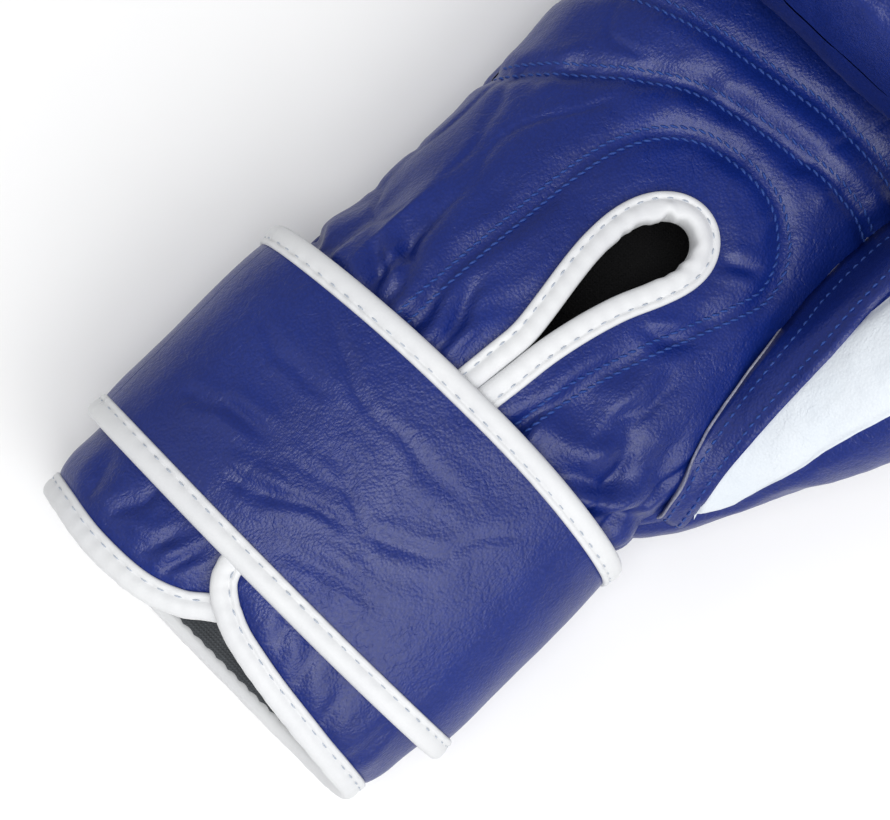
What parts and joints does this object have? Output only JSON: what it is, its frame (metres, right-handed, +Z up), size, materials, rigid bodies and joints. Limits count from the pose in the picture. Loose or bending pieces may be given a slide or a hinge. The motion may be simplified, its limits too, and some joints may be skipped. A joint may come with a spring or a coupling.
{
  "type": "boxing glove",
  "caption": "Right-hand leather boxing glove lying palm up, with a wide hook-and-loop wrist strap, a slit palm with a vent, a padded thumb and white bound edges.",
  "frame": {"origin": "middle of the flat patch under the back of the hand, where the glove rests with its palm up", "axes": "+Y from the cuff hem to the knuckles, +X to the thumb side, +Z up out of the palm"},
  "size_m": [0.1589, 0.2988, 0.1233],
  "materials": {
    "blue_leather": "smooth royal-blue leather with fine creases and a soft sheen",
    "white_leather": "smooth white leather with a soft sheen",
    "white_binding": "folded white leather tape with a row of white stitches",
    "foam": "closed-cell padding foam",
    "lining": "dark grey woven lining",
    "hook_tape": "black hook tape",
    "loop_tape": "black loop tape"
  },
  "bodies": {
    "glove": {"palm_leather": "blue_leather", "finger_leather": "blue_leather", "back_leather": "blue_leather", "knuckle_leather": "blue_leather", "palm_foam": "foam", "finger_foam": "foam", "finger_back_foam": "foam", "back_foam": "foam", "knuckle_foam": "foam", "hand_lining": "lining", "grip_bar": "foam", "thumb_palm_leather": "white_leather", "thumb_outer_leather": "blue_leather", "thumb_foam": "foam", "thumb_lining": "lining", "cuff_leather": "blue_leather", "cuff_foam": "foam", "cuff_lining": "lining", "hem_binding": "white_binding", "cuff_slit_binding": "white_binding", "vent_binding": "white_binding", "loop_panel": "loop_tape", "anchor_cover": "blue_leather", "anchor_backing": "blue_leather", "anchor_hem_binding": "white_binding", "anchor_wrist_binding": "white_binding"},
    "strap": {"strap_cover": "blue_leather", "strap_padding": "foam", "strap_backing": "blue_leather", "strap_hem_binding": "white_binding", "strap_wrist_binding": "white_binding"},
    "tab": {"tab_cover": "blue_leather", "tab_padding": "foam", "tab_hem_binding": "white_binding", "tab_wrist_binding": "white_binding", "tab_end_binding": "white_binding", "hook_panel": "hook_tape"}
  },
  "joints": [
    {"name": "strap_lift", "type": "hinge", "parent": "glove", "child": "strap", "pos_m": [-0.0601, 0, 0.0368], "axis": [0, -1, 0], "range_deg": [0, 45]},
    {"name": "tab_peel", "type": "hinge", "parent": "strap", "child": "tab", "pos_m": [0.0601, 0, 0.0368], "axis": [0, -1, 0], "range_deg": [0, 150]}
  ],
  "couplings": [
    {"joint": "strap_lift", "follows": "tab_peel", "ratio": 0.3}
  ]
}
